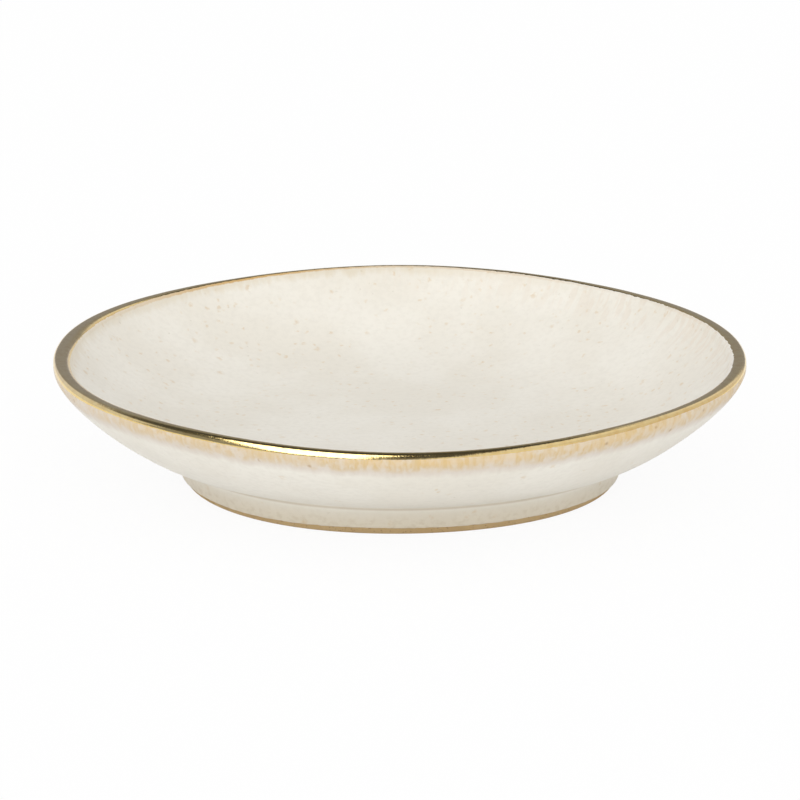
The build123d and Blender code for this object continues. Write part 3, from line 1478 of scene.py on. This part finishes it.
@dataclass
class ThrownBody(TurnedPiece):
    """The fired clay: floor, wall, lip and foot ring."""

    name: str = "thrown_body"
    node: str = "stoneware_body"
    slot: str = "bare_stoneware"
    gap: float = 0.3 * MM
    hidden_gap: float = 1.5 * MM
    bend: float = 8.0

    def rows(self) -> Iterator[Row]:
        """Under the glaze from the middle of the floor, then bare round the foot into the well."""
        dish, foot = self.wheel.dish, self.wheel.foot
        for length in dish.stations(0, dish.length, self.hidden_gap, self.bend):
            yield Row(length, self.wheel.section.glaze_thickness, skin=0)
        for length in foot.stations(0, foot.length, self.gap, self.bend):
            clear = min(length, foot.under(length, 0).y)
            yield Row(length, line=Line.FOOT, skin=min(1, clear / self.hidden_gap))


@dataclass
class InsideCoat(TurnedPiece):
    """The glaze poured over the floor and the inside of the wall."""

    name: str = "inside_coat"
    node: str = "inside_glaze"
    slot: str = "cream_inside_glaze"
    gap: float = 0.5 * MM
    lip_reach: float = 2.6 * MM
    lip_gap: float = 0.12 * MM

    def rows(self) -> Iterator[Row]:
        """Over the surface to the top of the rim, then back along the clay."""
        dish, top = self.wheel.dish, self.wheel.rim_top
        lip = top - self.lip_reach
        for length in dish.stations(0, lip, self.gap, self.bend)[:-1]:
            yield Row(length)
        for length in dish.stations(lip, top, self.lip_gap, self.bend):
            yield Row(length)
        for length in reversed(dish.stations(0, top, self.hidden_gap, self.hidden_bend)):
            yield Row(length, self.wheel.section.glaze_thickness, skin=0)


@dataclass
class OutsideCoat(TurnedPiece):
    """The glaze outside, from the top of the rim to the wiped edge above the foot's bare line.

    Attributes:
        pull_reach: How far up from the wiped edge the wall follows its wandering.
        grooves: Each turned groove: how far below the crease it lies, its depth and its width.
    """

    name: str = "outside_coat"
    node: str = "outside_glaze"
    slot: str = "cream_outside_glaze"
    end: Sway = Sway(((0, -0.2, 0), (1, -0.18, 300), (3, 0.08, 100), (7, 0.05, 30)), 0.2 * MM)
    pull_reach: float = 2.5 * MM
    bead_radius: float = 0.35 * MM
    bead_steps: int = 6
    grooves: tuple[tuple[float, float, float], ...] = (
        (-0.15 * MM, 0.09 * MM, 0.32 * MM),
        (0.85 * MM, 0.07 * MM, 0.3 * MM),
    )

    def groove_depth(self, length: float) -> float:
        """Depth of the turned grooves by the crease at a length along the outline."""
        crease = self.wheel.rim_top + self.wheel.section.crease_reach()
        return sum(
            depth * math.exp(-(((length - crease - below) / width) ** 2))
            for below, depth, width in self.grooves
        )

    def pull(self, length: float) -> float:
        """How far a ring at a length follows the wandering of the lower edge."""
        share = 1 - (self.wheel.dish.length - length) / self.pull_reach
        return max(0.0, share) ** 2

    def rows(self) -> Iterator[Row]:
        """Down the surface, round the bead at the wiped edge and back up along the clay."""
        dish, top = self.wheel.dish, self.wheel.rim_top
        thickness = self.wheel.section.glaze_thickness
        bead = dish.length - self.bead_radius
        for length in dish.stations(top, bead, self.gap, self.bend):
            yield Row(length, self.groove_depth(length), end_pull=self.pull(length))
        for step in range(1, self.bead_steps + 1):
            turn = math.pi / 2 * step / self.bead_steps
            length = bead + self.bead_radius * math.sin(turn)
            depth = thickness * (1 - math.cos(turn))
            yield Row(length, depth, end_pull=self.pull(length), skin=math.cos(turn))
        for length in reversed(dish.stations(top, dish.length, self.hidden_gap, self.hidden_bend)):
            yield Row(length, thickness, end_pull=self.pull(length), skin=0)
        yield Row(top)


@dataclass
class WellCoat(TurnedPiece):
    """The patch of glaze inside the foot ring, under the dish.

    Attributes:
        bare_height: How far up the side of the well the clay is bare.
        pull_reach: How far from the wiped edge the glaze follows its wandering.
        skin: How far its surface follows the ripples of the clay, from 0 to 1.
    """

    name: str = "well_coat"
    node: str = "foot_well_glaze"
    slot: str = "cream_well_glaze"
    start: Sway = Sway(((3, 0.08, 10), (5, 0.048, 50)), strokes=0.12 * MM)
    columns: int = 256
    gap: float = 0.6 * MM
    bend: float = 6.0
    bare_height: float = 0.9 * MM
    pull_reach: float = 2.4 * MM
    bead_steps: int = 5
    skin: float = 0.5

    def pull(self, length: float, start: float) -> float:
        """How far a ring at a length follows the wandering of the wiped edge."""
        return max(0.0, 1 - (length - start) / self.pull_reach)

    def rows(self) -> Iterator[Row]:
        """Out along the clay to the wiped edge, then back over the surface of the well."""
        foot = self.wheel.foot
        thickness = self.wheel.section.glaze_thickness
        start = foot.length_at_height(self.bare_height)
        for length in reversed(foot.stations(start, foot.length, self.gap, self.bend)):
            yield Row(length, 0, Line.FOOT, self.pull(length, start), skin=0)
        for step in range(1, self.bead_steps):
            turn = math.pi / 2 * step / self.bead_steps
            length = start + thickness * (1 - math.cos(turn))
            yield Row(length, -thickness * math.sin(turn), Line.FOOT, 1.0, skin=0)
        for length in foot.stations(start + thickness, foot.length, self.gap, self.bend):
            yield Row(length, -thickness, Line.FOOT, self.pull(length, start), skin=self.skin)


@dataclass
class GoldBand(TurnedPiece):
    """The band of gold lustre brushed over the lip, wider at the sides than at the back.

    Attributes:
        film: How far the gold stands proud of the glaze.
        feather: Over what distance it thins out at its edges.
        sunk: How far its hidden side lies below the glaze.
    """

    name: str = "gold_band"
    node: str = "gold_rim"
    slot: str = "gold_lustre"
    columns: int = 1440
    inside_width: float = GOLD_INSIDE_WIDTH
    outside_width: float = GOLD_OUTSIDE_WIDTH
    start: Sway = GOLD_INSIDE_SWAY
    end: Sway = GOLD_OUTSIDE_SWAY
    film: float = 0.01 * MM
    feather: float = 0.6 * MM
    sunk: float = 0.01 * MM
    brushed_steps: int = 30
    hidden_steps: int = 10

    def rows(self) -> Iterator[Row]:
        """Over the lip from the inside edge to the outside one, then back just under the glaze."""
        for step in range(self.brushed_steps + 1):
            yield self.row(step / self.brushed_steps, brushed=True)
        for step in reversed(range(self.hidden_steps + 1)):
            yield self.row(step / self.hidden_steps, brushed=False)

    def row(self, share: float, brushed: bool) -> Row:
        """Ring of the band.

        Args:
            share: Where it lies between the band's edges.
            brushed: Whether it lies on the side that shows.

        Returns:
            The ring, which feathers out at the band's edges.
        """
        place = -self.inside_width + share * (self.inside_width + self.outside_width)
        to_edge = min(place + self.inside_width, self.outside_width - place)
        full = min(1.0, to_edge / self.feather) if brushed else 0.0
        lift = (self.film + self.sunk) * math.sin(full * math.pi / 2)
        return Row(
            self.wheel.rim_top + place,
            self.sunk - lift,
            start_pull=max(0.0, -place / self.inside_width),
            end_pull=max(0.0, place / self.outside_width) ** 2,
        )


# The studio

class Lights(Enum):
    """What a lamp lights: the room's even light on matt surfaces is kept apart from what gloss
    reflects, as with the flags and cards of a product studio."""

    GLOSS = "gloss"
    MATT = "matt"


@dataclass(frozen=True)
class Softbox:
    """A flat lamp, as it is seen from the dish.

    Attributes:
        name: The lamp's name.
        towards: Direction in which it hangs.
        along: Direction that its length follows.
        width: Angle that its width fills, in degrees.
        length: Angle that its length fills, in degrees.
        radiance: How bright its face is, where 1 is white.
        lights: What it lights.
        distance: How far away it hangs.
    """

    name: str
    towards: tuple[float, float, float]
    along: tuple[float, float, float]
    width: float
    length: float
    radiance: float
    lights: Lights
    distance: float = 2.0

    def hang(self) -> None:
        """Add the lamp to the scene."""
        lamp = bpy.data.lights.new(self.name, "AREA")
        lamp.shape = "RECTANGLE"
        lamp.size = 2 * self.distance * math.tan(math.radians(self.width / 2))
        lamp.size_y = 2 * self.distance * math.tan(math.radians(self.length / 2))
        lamp.energy = self.radiance * math.pi * lamp.size * lamp.size_y
        back = Vector(self.towards).normalized()
        across = Vector(self.along).cross(back).normalized()
        axes = Matrix((across, back.cross(across), back)).transposed()
        holder = new_object(self.name, lamp)
        holder.visible_diffuse = self.lights is Lights.MATT
        holder.visible_glossy = self.lights is Lights.GLOSS
        holder.matrix_world = Matrix.Translation(back * self.distance) @ axes.to_4x4()


Range = tuple[float | None, float | None]


@dataclass(frozen=True)
class Card:
    """A pale card of the studio, as gloss on the dish reflects it.

    Attributes:
        ranges: From where to where it reaches along x, y and z, as parts of a unit direction.
        colour: Its hex colour.
        soft: Over how much of the direction its edges spread.
    """

    ranges: tuple[Range, Range, Range]
    colour: str
    soft: float = 0.08

    def layer(self, tree: Tree, parts: Sequence[Socket]) -> Layer:
        """Add nodes for how far the card covers a direction that has these parts."""
        bands = [
            band(tree, part, low, high, self.soft) for part, (low, high) in zip(parts, self.ranges)
        ]
        return self.colour, product(tree, *bands)


@dataclass(frozen=True)
class Studio:
    """A white table in a soft studio, and the camera of the photograph.

    Attributes:
        table_glow: How much of the table's look is plain white to the camera and in gloss.
        room_light: How bright the room's even light is on matt surfaces, where 1 is white.
        light_side: Side from which it is brighter.
        light_slope: How much brighter it is on that side.
        backdrop: Colour of the backdrop, and between which heights it takes over from below.
        ceiling: Colour of the ceiling, and the same.
    """

    camera_elevation: float = 16.63
    camera_distance: float = 600 * MM
    camera_target: tuple[float, float, float] = (0.09 * MM, 0.0, 11.73 * MM)
    camera_reach: float = 100.0
    focal_pixels: float = 3749.0
    image_pixels: float = 800.0
    sensor_width: float = 36.0
    table_size: float = 12.0
    table: str = "#FBFBFB"
    table_glow: float = 0.93
    room_light: float = 0.905
    light_side: tuple[float, float, float] = (-0.25, -0.75, 0.2)
    light_slope: float = 0.25
    horizon: str = "#F0F1FF"
    backdrop: tuple[str, float, float] = ("#9295A3", 0.0, 0.1)
    ceiling: tuple[str, float, float] = ("#48494D", 0.5, 0.75)
    cards: tuple[Card, ...] = (
        Card(((None, -0.36), (-0.02, None), (-0.2, 0.56)), "#E0E4FA"),
        Card(((0.22, None), (None, 0.84), (-0.2, 0.68)), "#F0F1FF"),
        Card(((0.5, None), (-0.35, 0.84), (-0.2, 0.68)), "#DEDAE3", 0.3),
        Card(((0.36, None), (None, 0.84), (0.68, None)), "#F0F1FF"),
    )
    softboxes: tuple[Softbox, ...] = (
        Softbox("overhead", (-0.385, -0.49, 0.78), (0.18, 0.87, 0.75), 36, 73, 3.5, Lights.GLOSS),
        Softbox("front_fill", (-0.1, -0.95, 0.24), (0, 0, 1), 50, 20, 1.14, Lights.MATT),
    )

    def add_camera(self) -> None:
        """Add the camera, whose axis passes through the middle of the picture."""
        lens = bpy.data.cameras.new("camera")
        lens.sensor_width = self.sensor_width
        lens.lens = self.sensor_width * self.focal_pixels / self.image_pixels
        lens.clip_start = self.camera_distance / self.camera_reach
        lens.clip_end = self.camera_distance * self.camera_reach
        turn = math.radians(self.camera_elevation)
        back = Vector((0, -math.cos(turn), math.sin(turn)))
        camera = new_object("camera", lens)
        camera.location = Vector(self.camera_target) + back * self.camera_distance
        camera.rotation_euler = (-back).to_track_quat("-Z", "Y").to_euler()
        bpy.context.scene.camera = camera

    def add_table(self) -> None:
        """Add the white table, which shows white to the camera and in gloss but for its shadow."""
        half = self.table_size / 2
        corners = [(-half, -half, 0), (half, -half, 0), (half, half, 0), (-half, half, 0)]
        mesh = bpy.data.meshes.new("table")
        mesh.from_pydata(corners, [], [(0, 1, 2, 3)])
        material = bpy.data.materials.new("white_table")
        material.use_nodes = True
        tree = material.node_tree
        tree.nodes.clear()
        rays = add_node(tree, "ShaderNodeLightPath").outputs
        seen = maths(tree, "MAXIMUM", rays["Is Camera Ray"], rays["Is Glossy Ray"])
        seen = maths(tree, "MAXIMUM", seen, rays["Is Transmission Ray"])
        matt = add_node(tree, "ShaderNodeBsdfDiffuse", {"Color": linear(self.table)})
        glow = add_node(tree, "ShaderNodeEmission", {"Strength": 1.0})
        glowing = product(tree, seen, self.table_glow)
        lit = add_node(tree, "ShaderNodeMixShader", {0: glowing, 1: matt, 2: glow})
        add_node(tree, "ShaderNodeOutputMaterial", {"Surface": lit})
        mesh.materials.append(material)
        new_object("table", mesh)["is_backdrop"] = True

    def add_room(self) -> None:
        """Add the room: even light for matt surfaces, and a pale backdrop under a dark ceiling."""
        world = bpy.data.worlds.new("room")
        bpy.context.scene.world = world
        world.use_nodes = True
        world.cycles.sampling_method = "NONE"
        tree = world.node_tree
        tree.nodes.clear()
        rays = add_node(tree, "ShaderNodeLightPath").outputs
        towards = add_node(tree, "ShaderNodeTexCoord").outputs["Generated"]
        parts = parts_of(tree, towards)
        _, _, height = parts
        layers = [
            (code, ramp(tree, height, low, high))
            for code, low, high in (self.backdrop, self.ceiling)
        ]
        layers += [card.layer(tree, parts) for card in self.cards]
        reflected = layered(tree, self.horizon, layers)
        side = Vector(self.light_side).normalized()
        facing = vectors(tree, "DOT_PRODUCT", towards, side).outputs["Value"]
        even = maths(tree, "MULTIPLY_ADD", facing, self.light_slope, self.room_light)
        gloss = rays["Is Glossy Ray"]
        seen = maths(tree, "MAXIMUM", rays["Is Camera Ray"], gloss)
        strength = add_node(tree, "ShaderNodeMix", {"Factor": seen, "A": even, "B": 1.0})
        shades = {"Factor": gloss, "A": linear("#FFFFFF"), "B": reflected}
        colour = add_node(tree, "ShaderNodeMix", shades, data_type="RGBA")
        background = add_node(
            tree, "ShaderNodeBackground", {"Color": colour, "Strength": strength}
        )
        add_node(tree, "ShaderNodeOutputWorld", {"Surface": background})

    def set_up(self) -> None:
        """Build the whole studio."""
        self.add_camera()
        self.add_table()
        self.add_room()
        for softbox in self.softboxes:
            softbox.hang()
        bpy.context.scene.view_settings.view_transform = "Standard"


def main() -> None:
    """Build the dish piece by piece, then the studio round it."""
    logging.basicConfig(level=logging.INFO, format="%(name)s: %(message)s")
    wheel = Wheel()
    for piece in (
        ThrownBody(wheel, BareStoneware()),
        InsideCoat(wheel, InsideGlaze()),
        OutsideCoat(wheel, OutsideGlaze(crease=wheel.section.crease_reach())),
        WellCoat(wheel, CreamGlaze()),
        GoldBand(wheel, GoldLustre()),
    ):
        piece.make()
    wheel.put_away()
    Studio().set_up()


if __name__ == "__main__":
    main()
    boxes = {"cad": cad_box, "visual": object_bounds()}
    {name: [list(corner) for corner in box] for name, box in boxes.items()}
